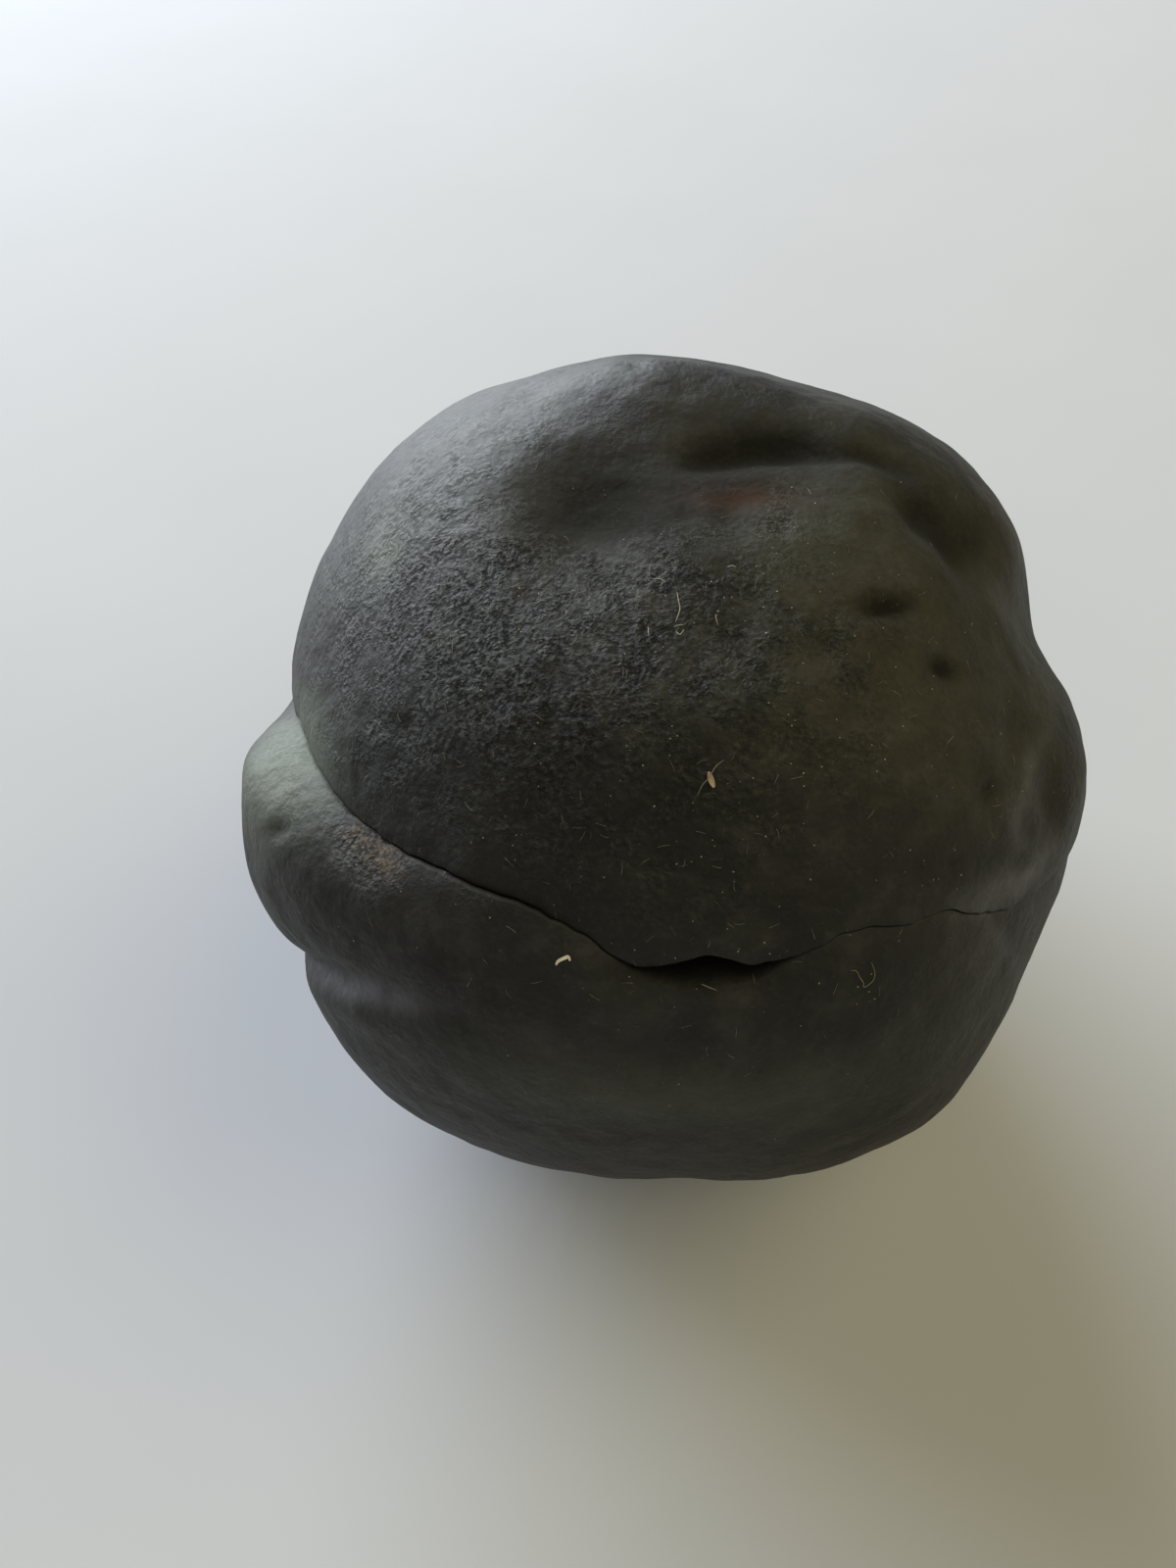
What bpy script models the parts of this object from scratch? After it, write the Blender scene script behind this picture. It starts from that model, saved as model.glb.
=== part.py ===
"""A black river stone the size of a fist, with a crack all round under its domed cap.

The surface is described by its distance from one inner point, the heart: a smooth body first, then lumps, hollows and
grooves on it, and the crack, which parts the cap's lip from the ledge of the lower body. Azimuth is in degrees from +X
towards +Y, so that -90 is the front, and elevation is in degrees above the level of the heart. Lengths are in
millimetres until the last step.
"""

import math

import bmesh
import bpy
import numpy as np

MM = 0.001

# The body
HEART = (0.74, 0.34, 33.0)  # the inner point that every radius starts from
GIRTH_LEAN = 51.5  # the girth is taken square to an axis that rises this much above the front
CROWN_RADIUS = 36.3  # along that axis, out to the brow
KEEL_RADIUS = 34.8  # along it the other way, out to the under-side at the back
# Round the girth, anticlockwise from the right as the brow faces the eye: angle, radius
GIRTH = (
    (0, 35.3),
    (10, 34.6),
    (20, 33.6),  # the valley runs out here
    (35, 36.3),
    (48, 37.2),
    (70, 36.2),
    (85, 36.4),
    (95, 37.1),
    (110, 37.1),
    (125, 38.1),  # shoulder at the back left
    (145, 37.0),
    (160, 35.9),
    (172, 35.0),
    (195, 35.2),
    (205, 36.9),
    (215, 38.2),
    (228, 38.6),
    (245, 37.3),
    (262, 36.2),
    (270, 35.9),
    (285, 36.8),
    (298, 37.2),
    (308, 37.5),
    (320, 36.2),
    (335, 34.7),
    (348, 35.1),
)

# The stone rests on a flat that takes in a disc of this radius
REST_RADIUS = 8.0
REST_BLEND = 0.5  # the under-side starts to round off this far above and below the flat

# The crack. Height of the cap's lip round the stone: azimuth, elevation
LIP = (
    (-175, 22.5),
    (-168, 27.0),
    (-161, 29.6),
    (-152, 31.4),
    (-142, 32.5),
    (-134, 33.6),
    (-126, 34.9),
    (-118, 35.6),
    (-106, 35.4),
    (-101, 33.8),
    (-98, 32.0),
    (-94, 31.0),
    (-90, 31.4),
    (-86, 32.3),
    (-80, 30.7),
    (-73, 31.3),
    (-65, 31.6),
    (-61, 29.9),
    (-53, 28.0),
    (-49, 25.0),
    (-45, 22.4),
    (-37, 18.6),
    (-30, 15.0),
    (-22, 9.0),
    (-10, 4.0),
    (10, 0.0),
    (40, -2.0),
    (70, -1.0),
    (100, 3.0),
    (130, 6.0),
    (155, 12.0),
)
CRACK_GAP = 0.25
CRACK_DEPTH = 3.0
# The crack gapes into a small mouth at the front. How far its lower edge falls away from the lip: azimuth, gap
MOUTH = (
    (-110, 0.0),
    (-99, 0.0),
    (-95.5, 0.25),
    (-93, 0.8),
    (-90, 1.7),
    (-86, 2.2),
    (-83, 1.75),
    (-79, 1.05),
    (-76, 0.4),
    (-73, 0.05),
    (-68, 0.0),
    (-40, 0.0),
    (90, 0.0),
    (200, 0.0),
)
MOUTH_DEPTH = 1.6  # more than the crack, for each millimetre of the mouth's gap
MOUTH_BACK_SHARE = 0.5  # of the mouth's gap, left at its back
# The lobe that swells out under the lip on the left: azimuth, how far it stands out, elevation of its foot
LOBE = (
    (-194, 0.0, -8),
    (-186, 0.1, -10),
    (-180, 0.8, -11),
    (-174, 2.1, -11),
    (-167, 3.4, -9.5),
    (-159, 3.9, -6.5),
    (-150, 3.5, -1.2),
    (-142, 2.7, 6),
    (-131, 1.4, 14.5),
    (-120, 0.6, 20.5),
    (-110, 0.2, 25),
    (-100, 0.0, 27),
    (-92, 0.0, 28),
    (-82, 0.0, 28),
    (0, 0.0, 0),
    (90, 0.0, 0),
    (155, 0.0, -8),
)
LOBE_TOP = 5.5  # way from the lip out to its full height
LOBE_FALL = 10.5  # and from there down to its foot
# How much the crack's two edges are worn back: azimuth, cap's lip, body's ledge
EDGE_WEAR = (
    (-175, 0.4, 1.0),
    (-150, 0.5, 0.6),
    (-130, 0.5, 0.4),
    (-110, 0.6, 0.4),
    (-97, 0.5, 0.9),
    (-90, 0.4, 2.0),
    (-85, 0.4, 2.3),
    (-80, 0.4, 2.0),
    (-72, 0.3, 0.8),
    (-60, 0.2, 0.5),
    (-40, 0.2, 0.4),
    (-20, 0.3, 0.4),
    (20, 0.4, 0.6),
    (70, 0.4, 0.5),
    (120, 0.4, 0.6),
    (160, 0.4, 0.7),
)
EDGE_WEAR_WIDTH = 1.8

# Lumps and hollows: azimuth, elevation, half-length, half-width, turn of the length from level, height, edge.
# An edge of 1 fades softly all round, and 2 keeps a level middle with steeper sides.
CAP_FORMS = (
    (-90, 57, 15.0, 5.0, 0, 0.8, 1),  # brow between the top and the front face
    (-88, 43, 12.0, 7.0, 0, -0.4, 1),  # flatter front face below it
    (85, 75, 11.0, 4.0, 0, 1.2, 1),  # roll behind the valley
    (25, 66, 6.0, 4.0, 90, 0.5, 1),  # its end, turning down the right side
    (-5, 61.5, 2.2, 1.8, 0, -0.6, 1),  # two dents where the valley runs out
    (-7, 54, 4.2, 2.8, 20, -1.1, 1),
    (3, 50, 2.2, 1.6, 0, -0.4, 1),
    (-55, 78.5, 2.4, 1.4, 55, -0.5, 1),  # notch in the valley's rim
    (-76, 65.5, 1.8, 1.4, 30, -0.35, 1),  # rough hollows on the brow
    (-61, 60.5, 2.2, 1.4, -10, -0.35, 1),
    (-38, 60.5, 2.3, 0.8, -30, -0.7, 1.2),  # long pit
    (-35, 51, 1.3, 0.8, -40, -0.6, 1.2),  # short pit
    (-18, 24, 8.0, 5.0, 0, 0.6, 1),  # bulge of the right side
    (-31, 38.5, 2.6, 2.0, 20, -0.5, 1),  # thumb-print hollows on it
    (-41, 37.6, 1.0, 0.7, 0, -0.4, 1),
    (-30, 28, 3.0, 1.7, 70, -0.7, 1),
    (60, 35, 10.0, 7.0, 20, -0.9, 1),  # broad hollow at the back
    (125, 45, 9.0, 7.0, 0, 0.5, 1),
    (92, 8, 14.0, 12.0, 0, -0.7, 1),  # flatter back
)
BODY_FORMS = (
    (92, 8, 14.0, 12.0, 0, -0.7, 1),  # the same, below the crack
    (-95, 13, 12.0, 3.0, 0, 0.4, 1),  # faint level ridge on the front
    (40, -25, 10.0, 7.0, -20, -0.8, 1),
    (110, -30, 12.0, 8.0, 15, 0.7, 1),
    (-40, -38, 9.0, 6.0, 0, -0.5, 1),
)

# Grooves of the valley across the top and of the crease under the lobe: azimuth, elevation, half-width, depth.
# An edge above 1 gives a groove a flatter floor and steeper sides.
BASIN = (
    (-124, 70, 3.0, 0.5),
    (-130, 75, 4.6, 1.7),
    (-140, 80, 5.4, 2.3),
    (-140, 85.5, 5.6, 2.1),
    (-25, 86.2, 5.6, 1.6),
    (-10, 82, 5.0, 1.3),
    (-5, 78, 4.2, 1.0),
    (0, 74.5, 3.0, 0.5),
)
BASIN_EDGE = 1.2
SLOT = (
    (40, 88.6, 1.2, 0.1),
    (27, 86.1, 1.5, 0.9),
    (22, 83, 1.6, 1.3),
    (19, 79.3, 1.6, 1.5),
    (14.8, 75.8, 1.5, 1.4),
    (10.8, 72.9, 1.3, 1.0),
    (8.5, 70.3, 1.2, 0.7),
    (9.5, 66.8, 1.2, 0.7),
    (8, 63.2, 1.2, 0.5),
    (5, 60, 1.2, 0.1),
)
SLOT_EDGE = 1.0
RUN_OUT = (
    (6.8, 65, 1.8, 0.4),
    (-4, 62, 2.4, 0.8),
    (-7, 57, 3.0, 0.9),
    (-3, 49, 3.2, 0.9),
    (-3, 42, 3.4, 0.8),
    (2, 33, 3.6, 0.4),
)
RUN_OUT_EDGE = 1.0
LOBE_CREASE = (
    (-158, -7, 1.6, 0.1),
    (-148, -0.5, 1.6, 0.5),
    (-138, 9.7, 1.4, 0.9),
    (-131, 14.5, 1.4, 0.7),
    (-120, 20.5, 1.6, 0.2),
    (-112, 24, 1.6, 0.0),
)
LOBE_CREASE_EDGE = 1.0
# Ledge just below that crease, as a groove turned outwards
LOBE_LEDGE = (
    (-156, -12, 1.8, 0.0),
    (-148, -4.5, 1.8, 0.3),
    (-139, 5, 1.8, 0.6),
    (-131, 10.5, 1.8, 0.5),
    (-122, 15.5, 1.8, 0.2),
    (-114, 18, 1.8, 0.0),
)
LOBE_LEDGE_EDGE = 1.0
GROOVE_STEPS = 8  # points between one knot of a groove and the next

# Fineness of the solid
SEGMENTS = 96
CAP_ROWS = 22
CRACK_ROWS = 2
BODY_ROWS = 22

STONE_COLOUR = (0.014, 0.013, 0.011, 1.0)
STONE_ROUGHNESS = 0.5


def unit(azimuth, elevation):
    """The direction of an azimuth and an elevation."""
    azimuth = np.radians(azimuth)
    elevation = np.radians(elevation)
    level = np.cos(elevation)
    return np.stack([level * np.cos(azimuth), level * np.sin(azimuth), np.sin(elevation)], axis=-1)


def closed_curve(degrees, knots, column=1):
    """A smooth curve through one column of a list of knots, which meets itself after a full turn."""
    places = np.array([knot[0] for knot in knots], float)
    values = np.array([knot[column] for knot in knots], float)
    places = np.concatenate([places[-2:] - 360, places, places[:2] + 360])
    values = np.concatenate([values[-2:], values, values[:2]])
    slopes = np.gradient(values, places)
    turned = (degrees - places[2]) % 360 + places[2]
    i = np.clip(np.searchsorted(places, turned, side="right") - 1, 2, len(places) - 3)
    span = places[i + 1] - places[i]
    t = (turned - places[i]) / span
    fade = 1 + (2 * t - 3) * t * t
    level = values[i] * fade + values[i + 1] * (1 - fade)
    return level + span * t * (1 - t) * (slopes[i] * (1 - t) - slopes[i + 1] * t)


def smooth_body(way):
    """Radius of the body without its forms: the girth's own, and one radius each way along its axis."""
    axis = unit(-90, GIRTH_LEAN)
    rise = unit(90, 90 - GIRTH_LEAN)
    along = way @ axis
    turn = np.degrees(np.arctan2(way @ rise, way[..., 0]))
    end = np.where(along > 0, CROWN_RADIUS, KEEL_RADIUS)
    return end + (closed_curve(turn, GIRTH) - end) * (1 - along**2)


def lumps(way, forms):
    """Height of all the lumps and hollows of a list."""
    total = np.zeros(way.shape[:-1])
    for azimuth, elevation, length, width, turn, height, edge in forms:
        middle = unit(azimuth, elevation)
        east = unit(azimuth + 90, 0)
        north = np.cross(middle, east)
        lengthwise = east * math.cos(math.radians(turn)) + north * math.sin(math.radians(turn))
        crosswise = np.cross(middle, lengthwise)
        far = (CROWN_RADIUS * way @ lengthwise / length) ** 2 + (CROWN_RADIUS * way @ crosswise / width) ** 2
        total += height * np.exp(-(far**edge)) * (way @ middle > 0)
    return total


def smooth_path(knots):
    """Direction, half-width and depth at many points on a smooth line through a groove's knots."""
    points = np.array([[*unit(azimuth, elevation), width, depth] for azimuth, elevation, width, depth in knots])
    points = np.vstack([2 * points[0] - points[1], points, 2 * points[-1] - points[-2]])
    path = []
    for a, b, c, d in zip(points, points[1:], points[2:], points[3:]):
        for t in np.arange(GROOVE_STEPS) / GROOVE_STEPS:
            bend = 2 * a - 5 * b + 4 * c - d + t * (3 * (b - c) + d - a)
            path.append(b + 0.5 * t * (c - a + t * bend))
    path = np.array(path)
    path[:, :3] /= np.linalg.norm(path[:, :3], axis=1)[:, None]
    return path


def groove(way, knots, edge):
    """Depth of a groove, which is negative, as a height."""
    depth = np.zeros(way.shape[:-1])
    for x, y, z, half_width, floor in smooth_path(knots):
        away = CROWN_RADIUS * np.linalg.norm(way - (x, y, z), axis=-1)
        depth = np.maximum(depth, floor * np.exp(-((away / half_width) ** (2 * edge))))
    return -depth


def swell(share):
    """A rise from 0 at a crease to a level 1."""
    return 1 - (1 - np.clip(share, 0, 1)) ** 1.6


def lobe(azimuth, elevation):
    """Height of the lobe, between the lip above it and its foot."""
    below_lip = np.radians(closed_curve(azimuth, LIP) - elevation) * CROWN_RADIUS
    above_foot = np.radians(elevation - closed_curve(azimuth, LOBE, 2)) * CROWN_RADIUS
    return closed_curve(azimuth, LOBE, 1) * swell(below_lip / LOBE_TOP) * swell(above_foot / LOBE_FALL)


def edge_wear(azimuth, away, column):
    """How far an edge of the crack is worn back, at some way from it along the surface."""
    return closed_curve(azimuth, EDGE_WEAR, column) * np.exp(-np.maximum(away, 0) / EDGE_WEAR_WIDTH)


def cap_radius(azimuth, elevation):
    way = unit(azimuth, elevation)
    radius = smooth_body(way) + lumps(way, CAP_FORMS)
    radius += groove(way, BASIN, BASIN_EDGE) + groove(way, SLOT, SLOT_EDGE) + groove(way, RUN_OUT, RUN_OUT_EDGE)
    above_lip = np.radians(elevation - closed_curve(azimuth, LIP)) * radius
    return radius - edge_wear(azimuth, above_lip, 1)


def body_radius(azimuth, elevation):
    way = unit(azimuth, elevation)
    radius = smooth_body(way) + lumps(way, BODY_FORMS) + lobe(azimuth, elevation)
    radius += groove(way, LOBE_CREASE, LOBE_CREASE_EDGE) - groove(way, LOBE_LEDGE, LOBE_LEDGE_EDGE)
    below_lip = np.radians(closed_curve(azimuth, LIP) - elevation) * radius
    return radius - edge_wear(azimuth, below_lip, 2)


def ring(azimuth, elevation, radius):
    """One ring of points round the stone, with those that would lie under the flat brought up to it."""
    points = unit(azimuth, elevation) * np.reshape(radius, (-1, 1)) + HEART
    z = points[:, 2]
    rounded = (z + REST_BLEND) ** 2 / (4 * REST_BLEND)
    points[:, 2] = np.where(z > REST_BLEND, z, np.where(z < -REST_BLEND, 0.0, rounded))
    return points


def stone_rings():
    """The rings of the whole surface: down the cap, into the crack, out along its floor and down the body."""
    azimuth = np.arange(SEGMENTS) * 360.0 / SEGMENTS
    mouth = closed_curve(azimuth, MOUTH)
    lip = closed_curve(azimuth, LIP)
    lip_radius = cap_radius(azimuth, lip)
    back_radius = lip_radius - CRACK_DEPTH - MOUTH_DEPTH * mouth
    ledge = lip - np.degrees((CRACK_GAP + mouth) / lip_radius)
    ledge_radius = body_radius(azimuth, ledge)
    back_floor = lip - np.degrees((CRACK_GAP + MOUTH_BACK_SHARE * mouth) / lip_radius)
    rest = -math.degrees(math.atan(HEART[2] / REST_RADIUS))

    rings = []
    for row in range(1, CAP_ROWS + 1):
        elevation = 90 + (lip - 90) * row / CAP_ROWS
        rings.append(ring(azimuth, elevation, cap_radius(azimuth, elevation)))
    for row in range(1, CRACK_ROWS + 1):
        rings.append(ring(azimuth, lip, lip_radius + (back_radius - lip_radius) * row / CRACK_ROWS))
    for row in range(CRACK_ROWS + 1):
        share = row / CRACK_ROWS
        elevation = back_floor + (ledge - back_floor) * share
        rings.append(ring(azimuth, elevation, back_radius + (ledge_radius - back_radius) * share))
    for row in range(1, BODY_ROWS + 1):
        elevation = ledge + (rest - ledge) * row / BODY_ROWS
        rings.append(ring(azimuth, elevation, body_radius(azimuth, elevation)))
    return rings


def make_stone():
    """One closed skin over the rings, with a point on top and a point in the middle of the flat."""
    mesh = bpy.data.meshes.new("shaligram_stone")
    skin = bmesh.new()
    rows = [[skin.verts.new(point * MM) for point in points] for points in stone_rings()]
    top = skin.verts.new((np.array(HEART) + (0, 0, cap_radius(0.0, 90.0))) * MM)
    bottom = skin.verts.new((HEART[0] * MM, HEART[1] * MM, 0.0))
    for j in range(SEGMENTS):
        k = (j + 1) % SEGMENTS
        skin.faces.new((top, rows[0][j], rows[0][k]))
        skin.faces.new((bottom, rows[-1][k], rows[-1][j]))
        for upper, lower in zip(rows, rows[1:]):
            skin.faces.new((upper[j], lower[j], lower[k], upper[k]))
    skin.to_mesh(mesh)
    skin.free()
    mesh.shade_smooth()
    mesh.set_sharp_from_angle(angle=math.radians(55))
    stone = bpy.data.objects.new("shaligram_stone", mesh)
    bpy.context.scene.collection.objects.link(stone)
    return stone


def stone_material():
    """Dense black shale, worn satin smooth."""
    material = bpy.data.materials.new("black_shale")
    material.use_nodes = True
    shader = material.node_tree.nodes["Principled BSDF"]
    shader.inputs["Base Color"].default_value = STONE_COLOUR
    shader.inputs["Roughness"].default_value = STONE_ROUGHNESS
    shader.inputs["Metallic"].default_value = 0.0
    return material


for old in list(bpy.data.objects):
    bpy.data.objects.remove(old, do_unlink=True)

stone = make_stone()
stone.data.materials.append(stone_material())
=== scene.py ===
"""The finish of the shaligram stone: worn skin, the crack under its cap, stains, and the lint and dust on it.

The stone's shape follows the same values and functions as its solid, at a finer pitch and with fine relief.
Lengths are in millimetres until a mesh is made. Azimuth is in degrees from +X towards +Y, so that -90 is the
front. Elevation is in degrees above the level of the heart, the inner point that every radius starts from.
"""

import math

import bpy
import numpy as np
from mathutils import Matrix, Vector, noise


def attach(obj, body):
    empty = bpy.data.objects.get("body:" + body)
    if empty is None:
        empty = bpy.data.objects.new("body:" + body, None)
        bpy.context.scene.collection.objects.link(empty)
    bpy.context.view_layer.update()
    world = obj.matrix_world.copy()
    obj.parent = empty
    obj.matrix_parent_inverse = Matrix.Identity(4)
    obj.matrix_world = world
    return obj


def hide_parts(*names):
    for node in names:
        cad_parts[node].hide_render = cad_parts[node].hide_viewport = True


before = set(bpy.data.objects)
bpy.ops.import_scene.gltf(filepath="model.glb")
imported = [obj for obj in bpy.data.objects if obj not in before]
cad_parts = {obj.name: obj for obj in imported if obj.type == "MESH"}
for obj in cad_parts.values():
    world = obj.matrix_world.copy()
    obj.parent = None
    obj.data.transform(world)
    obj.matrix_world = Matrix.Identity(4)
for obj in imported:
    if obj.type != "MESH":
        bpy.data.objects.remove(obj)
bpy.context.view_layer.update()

MM = 0.001
NODE = "shaligram_stone"

# The camera: a phone's wide lens, close above the front of the stone
FRAME_WIDTH = 1200.0
FRAME_HEIGHT = 1600.0
FOCAL_PIXELS = 1203.0
SENSOR_MM = 36.0
VIEW_ELEVATION = 51.5
VIEW_DISTANCE = 110.0  # from the heart
HEART_PIXEL = (685.0, 790.0)  # where the heart falls in the frame

# The body
HEART = (0.74, 0.34, 33.0)
GIRTH_LEAN = 51.5  # the girth is taken square to an axis that rises this much above the front
CROWN_RADIUS = 36.3  # along that axis, out to the brow
KEEL_RADIUS = 34.8  # along it the other way, out to the under-side at the back
# Round the girth, anticlockwise from the right as the brow faces the eye: angle, radius
GIRTH = (
    (0, 35.3), (10, 34.6), (20, 33.6), (35, 36.3), (48, 37.2), (70, 36.2), (85, 36.4), (95, 37.1),
    (110, 37.1), (125, 38.1), (145, 37.0), (160, 35.9), (172, 35.0), (195, 35.2), (205, 36.9),
    (215, 38.2), (228, 38.6), (245, 37.3), (262, 36.2), (270, 35.9), (285, 36.8), (298, 37.2),
    (308, 37.5), (320, 36.2), (335, 34.7), (348, 35.1),
)
REST_RADIUS = 8.0  # the stone rests on a flat that takes in a disc of this radius
REST_BLEND = 0.5  # the under-side starts to round off this far above and below the flat

# The crack. Height of the cap's lip round the stone: azimuth, elevation
LIP = (
    (-175, 22.5), (-168, 27.0), (-161, 29.6), (-152, 31.4), (-142, 32.5), (-134, 33.6), (-126, 34.9),
    (-118, 35.6), (-106, 35.4), (-101, 33.8), (-98, 32.0), (-94, 31.0), (-90, 31.4), (-86, 32.3), (-80, 30.7),
    (-73, 31.3), (-65, 31.6), (-61, 29.9), (-53, 28.0), (-49, 25.0), (-45, 22.4), (-37, 18.6), (-30, 15.0),
    (-22, 9.0), (-10, 4.0), (10, 0.0), (40, -2.0), (70, -1.0), (100, 3.0), (130, 6.0), (155, 12.0),
)
CRACK_GAP = 0.18
CRACK_DEPTH = 3.0
# The mouth. How far its lower edge falls away from the lip: azimuth, gap
MOUTH = (
    (-110, 0.0), (-99, 0.0), (-95.5, 0.25), (-93, 0.8), (-90, 1.7), (-86, 2.2), (-83, 1.75), (-79, 1.05),
    (-76, 0.4), (-73, 0.05), (-68, 0.0), (-40, 0.0), (90, 0.0), (200, 0.0),
)
MOUTH_DEPTH = 1.6  # more than the crack, for each millimetre of the mouth's gap
MOUTH_BACK_SHARE = 0.5  # of the mouth's gap, left at its back
# The lobe that swells out under the lip on the left: azimuth, how far it stands out, elevation of its foot
LOBE = (
    (-194, 0.0, -8), (-186, 0.1, -10), (-180, 0.8, -11), (-174, 2.1, -11), (-167, 3.4, -9.5),
    (-159, 3.9, -6.5), (-150, 3.5, -1.2), (-142, 2.7, 6.0), (-131, 1.4, 14.5), (-120, 0.6, 20.5),
    (-110, 0.2, 25), (-100, 0.0, 27), (-92, 0.0, 28), (-82, 0.0, 28), (0, 0.0, 0), (90, 0.0, 0),
    (155, 0.0, -8),
)
LOBE_TOP = 5.5  # way from the lip out to its full height
LOBE_FALL = 10.5  # and from there down to its foot
SWELL_POWER = 1.6  # how fast it leaves the crease at either end
# How much the crack's two edges are worn back: azimuth, cap's lip, body's ledge
EDGE_WEAR = (
    (-175, 0.4, 1.0), (-150, 0.5, 0.6), (-130, 0.5, 0.4), (-110, 0.6, 0.4), (-97, 0.5, 0.9), (-90, 0.4, 2.0),
    (-85, 0.4, 2.3), (-80, 0.4, 2.0), (-72, 0.3, 0.8), (-60, 0.2, 0.5), (-40, 0.2, 0.4), (-20, 0.3, 0.4),
    (20, 0.4, 0.6), (70, 0.4, 0.5), (120, 0.4, 0.6), (160, 0.4, 0.7),
)
EDGE_WEAR_WIDTH = 1.8

# Lumps and hollows: azimuth, elevation, half-length, half-width, turn of the length from level, height, edge.
# An edge of 1 fades softly all round, and 2 keeps a level middle with steeper sides.
CAP_FORMS = (
    (-90, 57, 15.0, 5.0, 0, 0.8, 1),  # brow between the top and the front face
    (-88, 43, 12.0, 7.0, 0, -0.4, 1),  # flatter front face below it
    (85, 75, 11.0, 4.0, 0, 1.2, 1),  # roll behind the valley
    (25, 66, 6.0, 4.0, 90, 0.5, 1),  # its end, turning down the right side
    (-5, 61.5, 2.2, 1.8, 0, -0.6, 1),  # three dents where the valley runs out
    (-7, 54, 4.2, 2.8, 20, -1.1, 1),
    (3, 50, 2.2, 1.6, 0, -0.4, 1),
    (-55, 78.5, 2.4, 1.4, 55, -0.5, 1),  # notch in the valley's rim
    (-76, 65.5, 1.8, 1.4, 30, -0.35, 1),  # rough hollows on the brow
    (-61, 60.5, 2.2, 1.4, -10, -0.35, 1),
    (-38, 60.5, 2.3, 0.8, -30, -0.7, 1.2),  # long pit
    (-35, 51, 1.3, 0.8, -40, -0.6, 1.2),  # short pit
    (-18, 24, 8.0, 5.0, 0, 0.6, 1),  # bulge of the right side
    (-31, 38.5, 2.6, 2.0, 20, -0.5, 1),  # thumb-print hollows on it
    (-41, 37.6, 1.0, 0.7, 0, -0.4, 1),
    (-30, 28, 3.0, 1.7, 70, -0.7, 1),
    (60, 35, 10.0, 7.0, 20, -0.9, 1),  # broad hollow at the back
    (125, 45, 9.0, 7.0, 0, 0.5, 1),
    (92, 8, 14.0, 12.0, 0, -0.7, 1),  # flatter back
)
BODY_FORMS = (
    (92, 8, 14.0, 12.0, 0, -0.7, 1),  # the same, below the crack
    (-95, 13, 12.0, 3.0, 0, 0.4, 1),  # faint level ridge on the front
    (-148.3, 25, 1.6, 0.6, 48, -0.35, 1),  # nick on the lobe
    (40, -25, 10.0, 7.0, -20, -0.8, 1),
    (110, -30, 12.0, 8.0, 15, 0.7, 1),
    (-40, -38, 9.0, 6.0, 0, -0.5, 1),
)

# Grooves: azimuth, elevation, half-width, depth
BASIN = (
    (-124, 70, 3.0, 0.5), (-130, 75, 4.6, 1.7), (-140, 80, 5.4, 2.3), (-140, 85.5, 5.6, 2.1),
    (-25, 86.2, 5.6, 1.6), (-10, 82, 5.0, 1.3), (-5, 78, 4.2, 1.0), (0, 74.5, 3.0, 0.5),
)
BASIN_EDGE = 1.2
SLOT = (
    (40, 88.6, 1.2, 0.1), (27, 86.1, 1.5, 0.9), (22, 83, 1.6, 1.3), (19, 79.3, 1.6, 1.5),
    (14.8, 75.8, 1.5, 1.4), (10.8, 72.9, 1.3, 1.0), (8.5, 70.3, 1.2, 0.7), (9.5, 66.8, 1.2, 0.7),
    (8, 63.2, 1.2, 0.5), (5, 60, 1.2, 0.1),
)
SLOT_EDGE = 1.0
RUN_OUT = (
    (6.8, 65, 1.8, 0.4), (-4, 62, 2.4, 0.8), (-7, 57, 3.0, 0.9), (-3, 49, 3.2, 0.9), (-3, 42, 3.4, 0.8),
    (2, 33, 3.6, 0.4),
)
RUN_OUT_EDGE = 1.0
LOBE_CREASE = (
    (-158, -7, 1.6, 0.1), (-148, -0.5, 1.6, 0.5), (-138, 9.7, 1.4, 0.9), (-131, 14.5, 1.4, 0.7),
    (-120, 20.5, 1.6, 0.2), (-112, 24, 1.6, 0.0),
)
LOBE_CREASE_EDGE = 1.0
# Ledge just below that crease, as a groove turned outwards
LOBE_LEDGE = (
    (-156, -12, 1.8, 0.0), (-148, -4.5, 1.8, 0.3), (-139, 5.0, 1.8, 0.6), (-131, 10.5, 1.8, 0.5),
    (-122, 15.5, 1.8, 0.2), (-114, 18, 1.8, 0.0),
)
LOBE_LEDGE_EDGE = 1.0
GROOVE_STEPS = 8

# Fine relief of the skin. Each pattern of noise is shifted by its own step, so that no two run alike
WAVES = ((13.0, 0.20), (5.5, 0.13), (2.2, 0.08))  # size and height of slow unevenness
CRUMBS = ((1.6, 0.12), (0.8, 0.09))  # and of the crumbly grain
CRUMB_SHIFT = 9.0
CHIPS = ((3.2, 0.30), (1.1, 0.16))  # and of the chips along the lip
CHIP_SHIFT = 5.0
PIT_COUNT = 150
PIT_RADIUS = (0.65, 1.1)
PIT_DEPTH_SHARE = 0.16  # of a pit's radius
PIT_SEED = 7
PIT_STRAY = 0.25  # chance that a pit outside the grain is kept; in the middle of the grain all of them are
SKIN_INSET = 0.15  # keeps the relief and what lies on it within the solid's box

# Fineness of the skin
SEGMENTS = 470
CAP_ROWS = 96
CRACK_ROWS = 4
BODY_ROWS = 96
EDGE_CROWDING = 1.35  # rows crowd towards the crack by this power

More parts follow.
